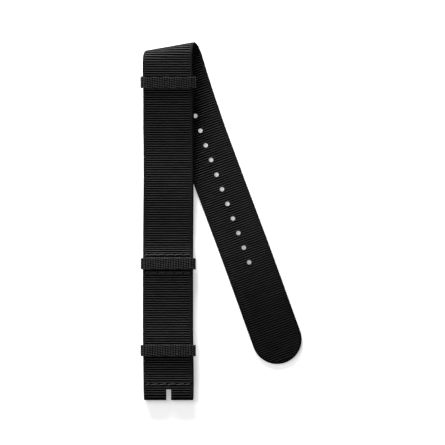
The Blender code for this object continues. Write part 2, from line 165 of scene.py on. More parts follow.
# How far the bands wander sideways, in mm: places along the leg or down the tail, and the shifts there
FRONT_WANDER = (
    (4.0, 0.10), (13.0, 0.0), (27.5, -0.17), (37.2, -0.21), (46.9, -0.17), (55.0, -0.14), (71.1, -0.08),
    (80.8, 0.03), (90.5, 0.13), (100.2, 0.10), (109.9, -0.03), (119.6, 0.0), (128.0, -0.05), (134.2, -0.25),
    (139.0, -0.16),
)
TAIL_WANDER = (
    (3.0, 0.0), (32.0, 0.0), (45.0, 0.12), (58.0, 0.20), (70.0, 0.32), (85.0, 0.43), (100.0, 0.41),
    (115.0, 0.33), (131.3, 0.34),
)
UNDER_WANDER = (
    (4.0, 0.38), (13.0, 0.38), (22.0, 0.2), (30.0, 0.13), (61.5, 0.14), (71.1, 0.22), (80.8, 0.3),
    (102.0, 0.35), (112.0, 0.5), (122.0, 0.45), (140.0, 0.12),
)
WANDER_STEP = 0.2 * MM
WANDER_BLUR = 10
FLAP_SHIFT = 0.36 * MM
SLOT_SHIFT = 0.26 * MM
KEEPER_SHIFT = 0.08 * MM

# Where the cloth is drawn in by the stitches, flattened round the punched holes, and raised at their lips
SEAM_DENT = 0.16 * MM
SEAM_DENT_REACH = 0.5 * MM
SEAM_DENT_EDGE = SEAM_EDGE_MARGIN / 3
NEEDLE_DENT = 0.62 * MM
NEEDLE_DENT_REACH = 0.42 * MM
UNDER_SEAM_DENT = 0.36 * MM
HOLE_FLAT = 0.3 * MM
HOLE_LIP = 0.05 * MM
HOLE_LIP_REACH = 0.16 * MM
HOLE_SIDES = 40
HOLE_CUT_DEPTH = 3 * BAND_THICKNESS

# The keepers' tape: columns of floats across it, each column a fifth of a float on from the last
FLOATS_ACROSS = 5
FLOAT_WIDTH = 0.99 * MM
FLOAT_REPEAT = 5
FLOAT_YARN_SHARE = 0.25
FLOAT_ROUND = 0.96
FLOAT_SIDE_POWER = 6
FLOAT_LOW = 0.2
FLOAT_HIGH = 0.9
FLOAT_SIDE_SHADE = 0.55
FLOAT_END_SHADE = 0.7
TAPE_RELIEF = 0.21 * MM
TAPE_PROUD = 0.05 * MM
TAPE_INNER_RELIEF = 0.5
TAPE_THINNEST_SHARE = 1 / 3
TAPE_EDGE_ROUND = 0.26 * MM
TAPE_EDGE_POWER = 2.2
TAPE_COLUMNS = 96
TAPE_CROWDING = 0.35
TAPE_STEP = 0.07 * MM
KEEPER_CORNER_WIDTH = 2.0 * MM
KEEPER_CORNER_HEIGHT = 1.27 * MM
KEEPER_BACK_CORNER = 0.85 * MM
KEEPER_CORNER_STEPS = 24

# The sewing thread
THREAD_RADIUS = 0.2 * MM
THREAD_PROUD = 0.2 * MM
THREAD_BEND = 0.28 * MM
THREAD_END_DROP = 2 * THREAD_BEND
THREAD_LOCK_OFFSET = 1.5 * THREAD_RADIUS
STITCH_SHARES = (0.0, 0.08, 0.2, 0.5, 0.8, 0.92, 1.0)
STITCH_SAG = 2.2
STITCH_SAG_POWER = 6
STITCH_SLANT = 0.04 * MM
BUCKLE_SEAM_SLANT = 0.17 * MM
THREAD_PLIES = 3
THREAD_TWIST = 1.1 * MM
THREAD_PLY_DEPTH = 0.16
THREAD_SIDES = 12
THREAD_STEP = 0.09 * MM

# The photograph's frame
PHOTO_SIZE = 445
PHOTO_SCALE = 0.404 * MM
LEG_MIDDLE_PX = 168.1
BUCKLE_END_PX = 400.1
CAMERA_HEIGHT = 2.0
CAMERA_REACH = 20.0
SENSOR = 36.0

# Noise in the cloths: the range that it mostly keeps to, and its waves in a mm across and along them
NOISE_RANGE = (0.3, 0.7)
NOISE_DETAIL = 2.0
FINE_DETAIL = 3.0
WANDER_WAVES = (0.35, 0.35, 0.0)
STREAK_WAVES = (0.25, 1.6, 0.0)
WEBBING_FIBRES = (14.0, 2.5, 0.0)
TAPE_FIBRES = (12.0, 2.0, 0.0)
TAPE_PATCHES = (0.6, 0.3, 0.0)
THREAD_FIBRES = (20.0, 6.0, 0.0)

# The finish of the black nylon, with light and shade painted into its colour: painted highlights on the
# grey rib crests between black valleys of painted shade, and more painted shade towards the tip, where the
# crests narrow
WEBBING_GLOSS = 0.0
WEBBING_ROUGHNESS = (0.4, 0.5)
WEBBING_BUMP = 0.006 * MM
STREAK_TONES = (0.72, 1.0)
YARN_PITCH = 0.36
YARN_WANDER = 0.12
YARN_CROWN = 0.7
# the yarn tones paint shade between the warp yarns
YARN_GAP_PAINTED_SHADE_TONES = (0.5, 1.0)
YARN_HEIGHT = 0.7
FIBRE_HEIGHT = 0.5
# the crest and valley greys paint a highlight on each rib crest and shade in its valleys
CREST_SHARE = 0.07
VALLEY_SHARE = 0.16
VALLEY_PAINTED_SHADE_GREY = 0.001
CREST_PAINTED_HIGHLIGHT_GREY = 0.066
SELVEDGE_TONE = 0.16
SELVEDGE_YARN_CROWN = 0.6
RIBBED_WEIGHT = 0.8
# painted shade along the tail: the crest highlights narrow and the selvedges darken towards its tip
PAINTED_TAIL_SHADE_FIRST = 45.0 * MM
PAINTED_TAIL_SHADE_LAST = 125.0 * MM
PAINTED_TAIL_SHADE_NARROWING = 0.045
PAINTED_TAIL_SHADE_SELVEDGE = 0.3
# the tape's greys paint a highlight on the float crowns and shade at their sides, ends and between them
TAPE_PAINTED_SHADE_GREY = 0.001
TAPE_PAINTED_HIGHLIGHT_GREY = 0.056
TAPE_CROWN_POWER = 3.0
TAPE_PATCH_TONES = (0.7, 1.0)
TAPE_FIBRE_TONES = (0.8, 1.1)
TAPE_GLOSS = 0.04
TAPE_ROUGHNESS = (0.32, 0.42)
TAPE_BUMP = 0.015 * MM
# painted shade in the creases where the thread's plies meet
THREAD_PAINTED_SHADE_GREY = 0.008
THREAD_GREY = 0.08
THREAD_TONES = (0.7, 1.0)
THREAD_GLOSS = 0.1
THREAD_ROUGHNESS = (0.38, 0.5)
THREAD_BUMP = 0.02 * MM

# The light, and the floor that is white to the camera far from the strap
KEY_DIRECTION = (-0.55, 0.2, 0.8)
KEY_DISTANCE = 0.45
KEY_SIZE = 0.26
KEY_POWER = 0.85
BACK_DIRECTION = (-0.25, 0.95, 0.25)
BACK_DISTANCE = 0.6
BACK_SIZE = 0.28
BACK_POWER = 12.0
WORLD_HORIZON_TOP = 0.03
WORLD_LOW_TOP = 0.12
WORLD_LOW = 0.3
WORLD_OVERHEAD = 0.2
FLOOR_SIZE = 4.0
FLOOR_DROP = 0.02 * MM
FLOOR_GREY = 0.93
FLOOR_ROUGHNESS = 0.9
FLOOR_GLOSS = 0.1
FLOOR_GLOW = 0.41
FLOOR_NEAR = 0.15
FLOOR_FAR = 0.4


def ramp(value, start, end):
    """A smooth rise from 0 at start to 1 at end, for numbers and arrays."""
    share = np.clip((value - start) / (end - start), 0.0, 1.0)
    return share * share * (3 - 2 * share)


def steps(start, end, count):
    return [start + (end - start) * index / count for index in range(count + 1)]


def tail_drift(distance):
    share = max(0.0, 1 - distance / TAIL_DRIFT_LENGTH)
    return TAIL_DRIFT * share * share


def fold_point(angle):
    run = FOLD_START + FOLD_RADIUS * angle / math.cos(FOLD_ANGLE)
    along = run * math.sin(FOLD_ANGLE) + tail_drift(0.0) * ramp(angle, 0.0, math.pi)
    across = FOLD_TANGENT + FOLD_RADIUS * math.sin(angle)
    height = HALF_THICKNESS + FOLD_RADIUS * (1 + math.cos(angle))
    return ALONG_FOLD * along + ACROSS_FOLD * across + Vector((0, 0, height))


def tail_turn(distance):
    """Angle between a row of the tail and square to it, which dies out past the fold."""
    return FOLD_ANGLE * (1 - ramp(distance, 0.0, TAIL_RELAX_LENGTH))


def tail_bow(distance):
    share = max(0.0, distance - TAIL_BOW_START) / (TAIL_LENGTH - TAIL_BOW_START)
    return Vector((0, 0, TAIL_BOW * math.sin(share * math.pi) ** 2))


def tail_point(distance):
    drift = tail_drift(distance) - tail_drift(0.0)
    return fold_point(math.pi) + TAIL_DIRECTION * distance + ALONG_FOLD * drift + tail_bow(distance)


def tail_across(distance):
    turn = tail_turn(distance)
    heading = 2 * FOLD_ANGLE - turn
    return Vector((math.cos(heading), math.sin(heading), 0)) / math.cos(turn)


def tail_crossing():
    """Place along the leg above which the tail lies partly under it."""
    for distance in steps(0.0, TAIL_LENGTH, CROSSING_STEPS):
        inner = tail_point(distance) - tail_across(distance) * HALF_WIDTH
        if inner.x > HALF_WIDTH:
            break
    return inner.y


TAIL_CROSSING = tail_crossing()


def leg_lift(y):
    over_tail = LAYER_STEP * ramp(y, TAIL_CROSSING - LEG_CLIMB_LENGTH, TAIL_CROSSING)
    return over_tail + FOLD_RISE * ramp(y, FOLD_START - FOLD_RISE_LENGTH, FOLD_START)


def under_height(y):
    return HALF_THICKNESS + leg_lift(y)


def under_slope(y):
    return math.atan2(under_height(y + CLOTH_GAP) - under_height(y - CLOTH_GAP), 2 * CLOTH_GAP)


def keeper_room(y):
    lower_edge = MIDDLE_KEEPER_PLACE - HALF_TAPE
    upper_edge = MIDDLE_KEEPER_PLACE + HALF_TAPE
    room = KEEPER_STEP + (LAYER_STEP - KEEPER_STEP) * (1 - ramp(y, FLAP_REACH, lower_edge))
    return room * (1 - ramp(y, upper_edge, upper_edge + KEEPER_DESCENT))


def front_height(y):
    level = under_height(y) + LAYER_STEP + keeper_room(y)
    tunnel_level = HALF_THICKNESS + 2 * TUNNEL_RADIUS
    return tunnel_level + (level - tunnel_level) * ramp(y, TUNNEL_CENTRE, BUCKLE_SEAM_PLACE)


def flap_height(y):
    sewn_level = under_height(y) + LAYER_STEP
    return HALF_THICKNESS + (sewn_level - HALF_THICKNESS) * ramp(y, TUNNEL_CENTRE, SLOT_DEPTH)


def front_sag(y):
    """How far the front layer sinks towards the under band on either side of the lower keeper."""
    lower_edge, upper_edge = LOWER_KEEPER_PLACE - HALF_TAPE, LOWER_KEEPER_PLACE + HALF_TAPE
    next_edge = MIDDLE_KEEPER_PLACE - HALF_TAPE - KEEPER_SEAM_MARGIN
    near = ramp(y, FLAP_REACH - FLAP_SHORT - SAG_LEAD, SAG_MIDDLE) * (1 - ramp(y, SAG_MIDDLE, lower_edge))
    far = ramp(y, upper_edge, SAG_FAR_MIDDLE) * (1 - ramp(y, SAG_FAR_MIDDLE, next_edge))
    return SAG_DEPTH * (near + far)


def slow_steps(start, end):
    return steps(start, end, max(1, round(abs(end - start) / SLOW_STEP)))


def long_path():
    """Middles of the long band's rows, the runs across them, and the tangent of their turn."""
    square = Vector((1, 0, 0))
    flap = slow_steps(FLAP_REACH - FLAP_SHORT, TUNNEL_CENTRE)
    path = [(Vector((0, y, flap_height(y))), square, 0.0) for y in flap]
    for angle in steps(0.0, math.pi, TUNNEL_STEPS)[1:-1]:
        y = TUNNEL_CENTRE - TUNNEL_RADIUS * math.sin(angle)
        z = HALF_THICKNESS + TUNNEL_RADIUS * (1 - math.cos(angle))
        path.append((Vector((0, y, z)), square, 0.0))
    for y in slow_steps(TUNNEL_CENTRE, FOLD_START):
        slant = math.tan(FOLD_ANGLE * ramp(y, FOLD_START - FOLD_TURN_LENGTH, FOLD_START))
        path.append((Vector((0, y, front_height(y) - front_sag(y))), Vector((1, slant, 0)), slant))
    crease = ALONG_FOLD / math.cos(FOLD_ANGLE)
    for angle in steps(0.0, math.pi, FOLD_STEPS)[1:]:
        path.append((fold_point(angle), crease, math.tan(FOLD_ANGLE)))
    for distance in slow_steps(0.0, TAIL_LENGTH)[1:]:
        path.append((tail_point(distance), tail_across(distance), math.tan(tail_turn(distance))))
    return path


def under_point(y, below=0.0):
    slope = under_slope(y)
    return Vector((0, y + below * math.sin(slope), under_height(y) - below * math.cos(slope)))


def hem_depth(y):
    keeper_edge = UPPER_KEEPER_PLACE - HALF_TAPE
    closing = ramp(y, HEM_SEAM_PLACE + THREAD_RADIUS, keeper_edge)
    return LAYER_STEP + (2 * RUN_OFFSET - LAYER_STEP) * closing


def under_path():
    """Middles of the under band's rows: its main run, the turn round the keeper and the hem."""
    square = Vector((1, 0, 0))
    points = [under_point(y) for y in slow_steps(UNDER_START, HEM_TURN_PLACE)]
    centre = under_point(HEM_TURN_PLACE, RUN_OFFSET)
    slope = under_slope(HEM_TURN_PLACE)
    for angle in steps(0.0, math.pi, TUNNEL_STEPS)[1:]:
        turned = angle - slope
        points.append(centre + RUN_OFFSET * Vector((0, math.sin(turned), math.cos(turned))))
    for y in slow_steps(HEM_TURN_PLACE, HEM_SEAM_PLACE - HEM_TAIL)[1:]:
        points.append(under_point(y, hem_depth(y)))
    return [(point, square, 0.0) for point in points]


def unit(rows):
    return rows / np.linalg.norm(rows, axis=1)[:, None]


def read_rows(wanted, runs, table):
    """Numbers or vectors of a table, at the wanted runs."""
    if table.ndim == 1:
        return np.interp(wanted, runs, table)
    return np.stack([np.interp(wanted, runs, table[:, axis]) for axis in range(3)], axis=-1)


def runs_along(places):
    """Length of the line through the places, up to each of them."""
    hops = np.linalg.norm(np.diff(places, axis=0), axis=1)
    return np.concatenate([[0.0], np.cumsum(hops)])


def ring_of(face, back):
    """Rows that run over the face and return over the back."""
    return np.concatenate([face, back[:, -2:0:-1]], axis=1)


class Strip:
    """A band that follows a path: places on it are its run along the band and its place across."""

    wander = None

    def __init__(self, path):
        self.middle = np.array([row[0] for row in path])
        self.across = np.array([row[1] for row in path])
        self.slant = np.array([row[2] for row in path])
        self.run = runs_along(self.middle)
        self.normal = unit(np.cross(self.across, np.gradient(self.middle, axis=0)))

    def length(self):
        return self.run[-1]

    def point(self, run, across, out):
        """Places in space of arrays of runs, places across and heights off the middle surface."""
        if self.wander is not None:
            across = across + np.interp(run, *self.wander)
        # a slanted row leaves the middle at another run than the place's own, found in passes
        row = run.copy()
        for _ in range(RULING_PASSES):
            row = run - across * read_rows(row, self.run, self.slant)
        middle, sideways, normal = (
            read_rows(row, self.run, table) for table in (self.middle, self.across, self.normal)
        )
        return middle + sideways * across[..., None] + normal * out[..., None]

    def run_at(self, y, first, last):
        """Run at which the middle passes a place along the leg, between two runs."""
        inside = (self.run >= first) & (self.run <= last)
        order = np.argsort(self.middle[inside, 1])
        return float(np.interp(y, self.middle[inside, 1][order], self.run[inside][order]))


def smooth_table(rows):
    """A table of runs and shifts with rounded corners, from rows of both."""
    runs = np.array([row[0] for row in rows])
    shifts = np.array([row[1] for row in rows]) * MM
    dense = np.arange(runs[0], runs[-1], WANDER_STEP)
    rough = np.interp(dense, runs, shifts)
    reach = 2 * WANDER_BLUR
    near = np.exp(-((np.arange(-reach, reach + 1) / WANDER_BLUR) ** 2))
    return dense, np.convolve(np.pad(rough, reach, mode="edge"), near / near.sum(), mode="valid")


def give_wander():
    """Let both bands wander sideways as they do in a strap that was folded by hand."""
    rows = [(0.0, FLAP_SHIFT / MM), (FLAP_RUN, FLAP_SHIFT / MM)]
    rows += [(LONG.run_at(y * MM, FRONT_FIRST, FRONT_LAST), shift) for y, shift in FRONT_WANDER]
    rows += [(TAIL_START + distance * MM, shift) for distance, shift in TAIL_WANDER]
    LONG.wander = smooth_table(rows)
    UNDER.wander = smooth_table([(max(0.0, y * MM - UNDER_START), shift) for y, shift in UNDER_WANDER])


def rib_relief(run):
    """Depth of the ribs below their crests: each is a round cord, with a sharp valley beside it."""
    place = run / RIB_PITCH + RIB_PHASE
    beside = 2 * np.abs(place - np.round(place))
    return RIB_DEPTH * (np.sqrt(1 - beside**2) - 1)


def selvedge_relief(edge):
    """A plain cord along each edge, with a groove between it and the ribs."""
    groove = np.exp(-(((edge - SELVEDGE_GROOVE_PLACE) / SELVEDGE_GROOVE_REACH) ** 2))
    return -SELVEDGE_GROOVE * groove


def row_runs(length):
    """Runs of the mesh's rows: set on each rib's crest, sides and valley, and closer at the ends."""
    count = math.ceil(length / RIB_PITCH) + 1
    inner = np.add.outer(np.arange(-1, count), RIB_ROW_SHARES).ravel() * RIB_PITCH - RIB_PHASE * RIB_PITCH
    near = np.array(END_ROWS) * MM
    clear = near[-1] + END_ROWS_CLEAR
    inner = inner[(inner > clear) & (inner < length - clear)]
    return np.concatenate([near, inner, length - near[::-1]])


def column_shares():
    """Places across the band as shares of its half width, close together at the selvedges."""
    inner = [share - 1 for share in COLUMN_SHARES + HOLE_COLUMN_SHARES]
    return np.array(inner + [-share for share in reversed(inner[:-1])])


def webbing(name, strip, half_width_of, edge_of, relief_of):
    """A ribbed band as one closed mesh, thinned to nothing at its selvedges and ends."""
    runs = row_runs(strip.length())
    shares = column_shares()
    run = np.repeat(runs[:, None], len(shares), axis=1)
    across = half_width_of(run) * shares[None, :]
    edge = np.clip(edge_of(run, across), 0.0, None)
    part = 1 - np.clip(edge / SELVEDGE_ROUND, 0.0, 1.0)
    base = HALF_THICKNESS * np.sqrt(np.clip(1 - part**SELVEDGE_POWER, 0.0, 1.0))
    inside = ramp(edge, SELVEDGE_PLAIN, SELVEDGE_PLAIN + SELVEDGE_FADE)
    ribbed = SELVEDGE_RIBS * ramp(edge, 0.0, SELVEDGE_PLAIN) + (1 - SELVEDGE_RIBS) * inside
    sheets = []
    for side in (1, -1):
        relief = relief_of(run, across, side, ribbed) + selvedge_relief(edge)
        thick = np.maximum(base + relief, base * THINNEST_SHARE)
        sheets.append(strip.point(run, across, side * thick))
    face, back = sheets
    face[:, [0, -1]] = (face[:, [0, -1]] + back[:, [0, -1]]) / 2
    across, run, ribbed = (ring_of(grid, grid) for grid in (across, run, ribbed))
    return ring_mesh(name, ring_of(face, back), across, run, ribbed)


def ring_mesh(name, ring, across, run, weight, closed=False):
    """A mesh from a grid of rings, with its cloth coordinates kept in millimetres."""
    rows, columns = ring.shape[:2]
    number = np.arange(rows * columns).reshape(rows, columns)
    lower, upper = (number, np.roll(number, -1, axis=0)) if closed else (number[:-1], number[1:])
    faces = np.stack([lower, np.roll(lower, -1, axis=1), np.roll(upper, -1, axis=1), upper], axis=-1)
    mesh = bpy.data.meshes.new(name)
    all_faces = faces.reshape(-1, 4).tolist()
    if not closed:
        all_faces += [list(reversed(number[0].tolist())), number[-1].tolist()]
    mesh.from_pydata((ring.reshape(-1, 3) + ORIGIN).tolist(), [], all_faces)
    cloth = np.stack([across, run, weight], axis=-1).reshape(-1, 3) / np.array([MM, MM, 1.0])
    layer = mesh.attributes.new("cloth", "FLOAT_VECTOR", "POINT")
    layer.data.foreach_set("vector", cloth.astype(np.float32).ravel())
    body = bmesh.new()
    body.from_mesh(mesh)
    bmesh.ops.recalc_face_normals(body, faces=body.faces)
    body.to_mesh(mesh)
    body.free()
    mesh.shade_smooth()
    piece = bpy.data.objects.new(name, mesh)
    bpy.context.scene.collection.objects.link(piece)
    return piece


def place_of_frame():
    """The leg's own origin, its buckle end on the table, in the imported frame."""
    under_low, under_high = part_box("under_band")
    long_low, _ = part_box("long_band")
    return np.array([(under_low.x + under_high.x) / 2, long_low.y, 0.0])


def needle_points(shift):
    edge = HALF_WIDTH - SEAM_EDGE_MARGIN
    reach = edge - SHORTEST_STITCH
    first = math.ceil((-reach - shift) / STITCH_PITCH)
    last = math.floor((reach - shift) / STITCH_PITCH)
    return [-edge] + [shift + STITCH_PITCH * index for index in range(first, last + 1)] + [edge]


def seam_dent(run, across, seam_run, shift, depth):
    """How far the cloth is drawn in by one row of stitches."""
    far = np.abs(run - seam_run)
    inside = ramp(HALF_WIDTH - np.abs(across), SEAM_DENT_EDGE, SEAM_EDGE_MARGIN)
    dent = depth * np.exp(-((far / SEAM_DENT_REACH) ** 2)) * inside
    for x in needle_points(shift):
        reach = np.hypot(run - seam_run, across - x) / NEEDLE_DENT_REACH
        dent = dent + NEEDLE_DENT * np.exp(-(reach**2))
    return -dent


def hole_runs(strip):
    last = strip.length() - LAST_HOLE_TO_TIP
    return [last - HOLE_PITCH * index for index in range(HOLE_COUNT)]


def cut_away(piece, cutters):
    """Cut closed bodies out of a piece for good."""
    cutter_mesh = bpy.data.meshes.new(piece.name + "_cutter")
    cutters.to_mesh(cutter_mesh)
    cutters.free()
    cutter = bpy.data.objects.new(cutter_mesh.name, cutter_mesh)
    bpy.context.scene.collection.objects.link(cutter)
    cut = piece.modifiers.new("cut", "BOOLEAN")
    cut.object = cutter
    graph = bpy.context.evaluated_depsgraph_get()
    solid = bpy.data.meshes.new_from_object(piece.evaluated_get(graph))
    piece.modifiers.clear()
    piece.data = solid
    bpy.data.objects.remove(cutter, do_unlink=True)


def cut_openings(band, strip):
    """Punch the adjustment holes and the open slot for the buckle's tongue."""
    cutters = bmesh.new()
    for hole in hole_runs(strip):
        place = strip.point(np.array([hole]), np.array([0.0]), np.array([0.0]))[0] + ORIGIN
        bmesh.ops.create_cone(
            cutters, cap_ends=True, segments=HOLE_SIDES, radius1=HOLE_DIAMETER / 2,
            radius2=HOLE_DIAMETER / 2, depth=HOLE_CUT_DEPTH, matrix=Matrix.Translation(Vector(place)),
        )
    top = front_height(SLOT_DEPTH) + BAND_THICKNESS
    size = Vector((SLOT_WIDTH, SLOT_DEPTH + BAND_THICKNESS, top + BAND_THICKNESS))
    middle = Vector((SLOT_SHIFT, SLOT_DEPTH - size.y / 2, (top - BAND_THICKNESS) / 2)) + Vector(ORIGIN)
    slot = Matrix.Translation(middle) @ Matrix.Diagonal(size.to_4d())
    bmesh.ops.create_cube(cutters, size=1.0, matrix=slot)
    cut_away(band, cutters)


def make_long_band():
    """The front leg, fold and tail, with ribs, stitched dents, punched holes and the slot."""
    strip = LONG
    tip_centre = strip.length() - HALF_WIDTH
    front_start = strip.run_at(TUNNEL_CENTRE, FRONT_FIRST, FRONT_LAST)
    holes = hole_runs(strip)

    def half_width_of(run):
        past = np.clip(run - tip_centre, 0.0, HALF_WIDTH)
        return np.sqrt(np.clip(HALF_WIDTH**2 - past**2, NARROWEST_TIP**2, None))

    def edge_of(run, across):
        side = HALF_WIDTH - np.abs(across)
        past = np.clip(run - tip_centre, 0.0, None)
        tip = HALF_WIDTH - np.hypot(past, across)
        cut = np.clip(run, 0.0, None) * SELVEDGE_ROUND / CUT_END_ROUND
        return np.minimum(np.where(past > 0, tip, side), cut)

    def relief_of(run, across, side, ribbed):
        relief = rib_relief(run) * ribbed
        for hole in holes:
            away = np.hypot(run - hole, across) - HOLE_DIAMETER / 2
            flat = ramp(away, 0.0, HOLE_FLAT)
            relief = relief * np.where(away < HOLE_FLAT, flat, 1.0)
            if side < 0:
                relief = relief + HOLE_LIP * np.exp(-((away / HOLE_LIP_REACH) ** 2))
        if side > 0:
            for place, shift in LEG_SEAMS.values():
                seam_run = strip.run_at(place, front_start, FRONT_LAST)
                relief = relief + seam_dent(run, across, seam_run, shift, SEAM_DENT)
        return relief

    band = webbing("ribbed_long_band", strip, half_width_of, edge_of, relief_of)
    cut_openings(band, strip)
    return band


def make_under_band():
    """The second band, sewn beneath, with its hem round the upper keeper."""
    strip = UNDER
    turn = strip.run_at(HEM_TURN_PLACE, 0.0, HEM_TURN_RUN)
    hem_out = strip.run_at(HEM_SEAM_PLACE, 0.0, turn)
    hem_back = strip.run_at(HEM_SEAM_PLACE, turn + RUN_OFFSET, strip.length())

    def half_width_of(run):
        return np.full_like(run, HALF_WIDTH)

    def edge_of(run, across):
        ends = np.minimum(run, strip.length() - run) * SELVEDGE_ROUND / CUT_END_ROUND
        return np.minimum(HALF_WIDTH - np.abs(across), ends)

    def relief_of(run, across, side, ribbed):
        relief = rib_relief(run) * ribbed
        if side < 0:
            for place, shift in LEG_SEAMS.values():
                seam_run = strip.run_at(place, 0.0, turn)
                relief = relief + seam_dent(run, across, seam_run, shift, UNDER_SEAM_DENT)
        else:
            for seam_run in (hem_out, hem_back):
                relief = relief + seam_dent(run, across, seam_run, HEM_SEAM_SHIFT, UNDER_SEAM_DENT)
        return relief

    return webbing("ribbed_under_band", strip, half_width_of, edge_of, relief_of)


def keeper_path(back, front):
    """Rounded loop of a keeper's tape in its own upright plane: places, outward ways and runs."""
    half_span = HALF_WIDTH + KEEPER_SIDE_GAP + KEEPER_THICKNESS / 2
    middle, half_height = (back + front) / 2, (front - back) / 2
    places, ways = [], []
    for quarter in range(4):
        in_front = quarter < 2
        width = KEEPER_CORNER_WIDTH if in_front else KEEPER_BACK_CORNER
        height = min(KEEPER_CORNER_HEIGHT if in_front else KEEPER_BACK_CORNER, half_height)
        turning = (quarter + 0.5) * math.pi / 2
        corner_x = math.copysign(half_span - width, math.cos(turning))
        corner_z = math.copysign(half_height - height, math.sin(turning)) + middle
        for angle in steps(quarter * math.pi / 2, (quarter + 1) * math.pi / 2, KEEPER_CORNER_STEPS):
            turned = np.array([math.cos(angle) * width, 0.0, math.sin(angle) * height])
            places.append(np.array([corner_x, 0.0, corner_z]) + turned)
            way = np.array([math.cos(angle) * height, 0.0, math.sin(angle) * width])
            ways.append(way / np.linalg.norm(way))
    places.append(places[0])
    ways.append(ways[0])
    return np.array(places), np.array(ways), runs_along(places)


def on_under_band(ring, y):
    """Places that were given about the under band's middle, tilted with it at a place along the leg."""
    tilt = Matrix.Rotation(under_slope(y), 3, "X")
    return ring @ np.array(tilt).T + np.array(under_point(y))


def twill_relief(run, across):
    """Relief of the tape and its painted light and shade: floats of two yarns each, in columns across it.
    """
    column = run / FLOAT_WIDTH
    number = np.floor(column)
    along = 2 * (column - number) - 1
    float_place = across / KEEPER_TAPE_WIDTH * FLOATS_ACROSS - number / FLOAT_REPEAT
    beside = 2 * (float_place - np.floor(float_place)) - 1
    yarns = 1 - FLOAT_YARN_SHARE + FLOAT_YARN_SHARE * np.sqrt(np.abs(np.sin(beside * math.pi)))
    crown = np.sqrt(np.clip(1 - FLOAT_ROUND * beside**2, 0.0, 1.0))
    bump = yarns * crown * np.clip(1 - along**FLOAT_SIDE_POWER, 0.0, 1.0)
    bump = np.clip((bump - FLOAT_LOW) / (FLOAT_HIGH - FLOAT_LOW), 0.0, 1.0)
    # painted light on each float's crown and painted shade towards its sides and ends
    float_painted_light = bump * (1 - FLOAT_SIDE_SHADE * along**2) * (1 - FLOAT_END_SHADE * beside**2)
    return TAPE_PROUD + TAPE_RELIEF * (bump - 1), float_painted_light


def make_keeper(name, y, back, front):
    """One keeper of twill tape, as a closed loop."""
    places, ways, table = keeper_path(back, front)
    total = table[-1]
    count = round(total / TAPE_STEP)
    runs = np.arange(count) * total / count
    way = unit(read_rows(runs, table, ways))[:, None, :]
    shares = np.linspace(-1.0, 1.0, TAPE_COLUMNS + 1)
    shares = np.sin(shares * math.pi / 2) * TAPE_CROWDING + shares * (1 - TAPE_CROWDING)
    run = np.repeat(runs[:, None], len(shares), axis=1)
    across = np.repeat(shares[None, :] * HALF_TAPE, len(runs), axis=0)
    edge = 1 - np.clip((HALF_TAPE - np.abs(across)) / TAPE_EDGE_ROUND, 0.0, 1.0)
    base = KEEPER_THICKNESS / 2 * np.sqrt(np.clip(1 - edge**TAPE_EDGE_POWER, 0.0, 1.0))
    floats = FLOAT_REPEAT * round(total / FLOAT_WIDTH / FLOAT_REPEAT)
    relief, float_painted_light = twill_relief(run * floats * FLOAT_WIDTH / total, across + HALF_TAPE)
    least = base * TAPE_THINNEST_SHARE
    middle = read_rows(runs, table, places)[:, None, :] + LENGTHWISE * across[..., None]
    outer = middle + way * np.maximum(base + relief, least)[..., None]
    inner = middle - way * np.maximum(base + relief * TAPE_INNER_RELIEF, least)[..., None]
    outer[:, [0, -1]] = (outer[:, [0, -1]] + inner[:, [0, -1]]) / 2
    ring = on_under_band(ring_of(outer, inner), y) + SIDEWAYS * KEEPER_SHIFT
    across, run, float_painted_light = (ring_of(grid, grid) for grid in (across, run, float_painted_light))
    return ring_mesh(name, ring, across, run, float_painted_light, closed=True)


def thread_route(points, face, meeting, proud, slant):
    """One thread of a lockstitch, over its face and down to the other thread at each needle point."""
    up = math.copysign(1.0, face - meeting)
    line = face - up * (THREAD_RADIUS - proud)
    low = meeting + up * THREAD_LOCK_OFFSET
    route = [(points[0], 0.0, low), (points[0], -slant, line - up * THREAD_END_DROP)]
    for first, second in zip(points, points[1:]):
        for share in STITCH_SHARES:
            x = first + THREAD_BEND + (second - first - 2 * THREAD_BEND) * share
            sag = STITCH_SAG * THREAD_BEND * (2 * share - 1) ** STITCH_SAG_POWER
            route.append((x, slant * (2 * share - 1), line - up * sag))
        if second != points[-1]:
            route.append((second, 0.0, low))
    route.append((points[-1], 0.0, low))
    return [Vector(place) for place in route]


def smooth_route(route):
    """Even points along a smooth curve through a route."""
    count = len(route)
    dense = []
    for index in range(count - 1):
        p0, p1 = route[max(0, index - 1)], route[index]
        p2, p3 = route[index + 1], route[min(count - 1, index + 2)]
        pieces = max(2, round((p2 - p1).length / THREAD_STEP))
        for number in range(pieces):
            t = number / pieces
            dense.append(0.5 * (
                2 * p1 + (p2 - p0) * t + (2 * p0 - 5 * p1 + 4 * p2 - p3) * t * t
                + (3 * p1 - p0 - 3 * p2 + p3) * t * t * t
            ))
    dense.append(route[-1])
    return dense


def make_thread(name, y, shift, face, meeting, proud, slant):
    """A plied thread of one seam."""
    places = np.array(smooth_route(thread_route(needle_points(shift), face, meeting, proud, slant)))
    normal = np.cross(LENGTHWISE, unit(np.gradient(places, axis=0)))
    run = runs_along(places)
    turns = np.arange(THREAD_SIDES) * 2 * math.pi / THREAD_SIDES
    twist = turns[None, :] + 2 * math.pi * run[:, None] / THREAD_TWIST
    ply = np.abs(np.sin(twist * THREAD_PLIES / 2))
    radius = THREAD_RADIUS * (1 - THREAD_PLY_DEPTH * (1 - ply))
    ring = places[:, None, :] + LENGTHWISE * (radius * np.cos(turns))[..., None]
    ring = ring + normal[:, None, :] * (radius * np.sin(turns))[..., None]
    run_grid = np.repeat(run[:, None], THREAD_SIDES, axis=1)
    across_grid = np.repeat(turns[None, :], len(run), axis=0) * THREAD_RADIUS
    return ring_mesh(name, on_under_band(ring, y), across_grid, run_grid, ply)


def front_face(y):
    """Height of the front layer's upper face over the under band's middle."""
    return front_height(y) - under_height(y) + HALF_THICKNESS


def keeper_front(y):
    """Height of a keeper's front run over the under band's middle."""
    return front_face(y) + CLOTH_GAP + KEEPER_THICKNESS / 2


